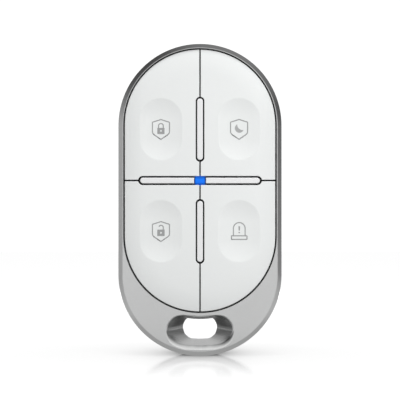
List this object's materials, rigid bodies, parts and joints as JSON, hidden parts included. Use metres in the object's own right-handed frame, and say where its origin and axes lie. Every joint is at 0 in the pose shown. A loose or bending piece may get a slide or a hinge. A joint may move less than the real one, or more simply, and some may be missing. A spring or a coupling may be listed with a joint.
{
  "type": "alarm key fob",
  "caption": "Pill-shaped alarm key fob: satin frame with a flared key-ring eye, dished white press keys split by divider bars, and a blue status light at their crossing.",
  "frame": {"origin": "bottom centre of the fob's box: the middle of its width and depth, level with its lowest point", "axes": "+Z along the fob's length from the key-ring eye to the round top, -Y out of the keys' face, +Y out of the rear cover, +X to the right as seen from the keys' side"},
  "size_m": [0.0344, 0.012, 0.066],
  "materials": {
    "satin_frame": "bead-blasted satin silver",
    "key_white": "semi-gloss white",
    "white_plastic": "gloss white",
    "blue_lens": "lit translucent blue",
    "cover_plastic": "fine texture white",
    "dark_plastic": "matte black",
    "black_rubber": "matte",
    "grey_silicone": "matte translucent grey",
    "screw_steel": "plated",
    "switch_metal": "stamped sheet",
    "contact_metal": "nickel plated",
    "cell_steel": "bright can",
    "board_green": "solder mask",
    "chip_black": "moulded package",
    "chip_ceramic": "fired ceramic",
    "copper_wire": "enamelled wire",
    "led_package": "clear package",
    "black_foam": "foam"
  },
  "bodies": {
    "fob": {"front_frame": "satin_frame", "rear_cover": "cover_plastic", "cover_gasket": "black_rubber", "cover_screws": "screw_steel", "divider_upper": "white_plastic", "divider_lower": "white_plastic", "divider_left": "white_plastic", "divider_right": "white_plastic", "status_lens": "blue_lens", "button_deck": "dark_plastic", "key_mat": "grey_silicone", "snap_dome_arm": "contact_metal", "snap_dome_night": "contact_metal", "snap_dome_disarm": "contact_metal", "snap_dome_panic": "contact_metal", "switch_bases": "dark_plastic", "switch_covers": "switch_metal", "circuit_board": "board_green", "radio_chip": "chip_black", "crystal": "switch_metal", "antenna": "copper_wire", "status_led": "led_package", "small_parts": "chip_ceramic", "board_screws": "screw_steel", "battery_holder": "dark_plastic", "contact_negative": "contact_metal", "contact_positive": "contact_metal", "coin_cell": "cell_steel", "cell_pad": "black_foam"},
    "key_arm": {"button_arm": "key_white", "pad_arm": "grey_silicone", "plunger_arm": "dark_plastic"},
    "key_night": {"button_night": "key_white", "pad_night": "grey_silicone", "plunger_night": "dark_plastic"},
    "key_disarm": {"button_disarm": "key_white", "pad_disarm": "grey_silicone", "plunger_disarm": "dark_plastic"},
    "key_panic": {"button_panic": "key_white", "pad_panic": "grey_silicone", "plunger_panic": "dark_plastic"}
  },
  "joints": [
    {"name": "press_arm", "type": "slide", "parent": "fob", "child": "key_arm", "axis": [0, 1, 0], "range_m": [0, 0.0003], "stiffness_N_per_m": 5000, "springref_m": -0.00005, "deforming": ["snap_dome_arm"]},
    {"name": "press_night", "type": "slide", "parent": "fob", "child": "key_night", "axis": [0, 1, 0], "range_m": [0, 0.0003], "stiffness_N_per_m": 5000, "springref_m": -0.00005, "deforming": ["snap_dome_night"]},
    {"name": "press_disarm", "type": "slide", "parent": "fob", "child": "key_disarm", "axis": [0, 1, 0], "range_m": [0, 0.0003], "stiffness_N_per_m": 5000, "springref_m": -0.00005, "deforming": ["snap_dome_disarm"]},
    {"name": "press_panic", "type": "slide", "parent": "fob", "child": "key_panic", "axis": [0, 1, 0], "range_m": [0, 0.0003], "stiffness_N_per_m": 5000, "springref_m": -0.00005, "deforming": ["snap_dome_panic"]}
  ]
}
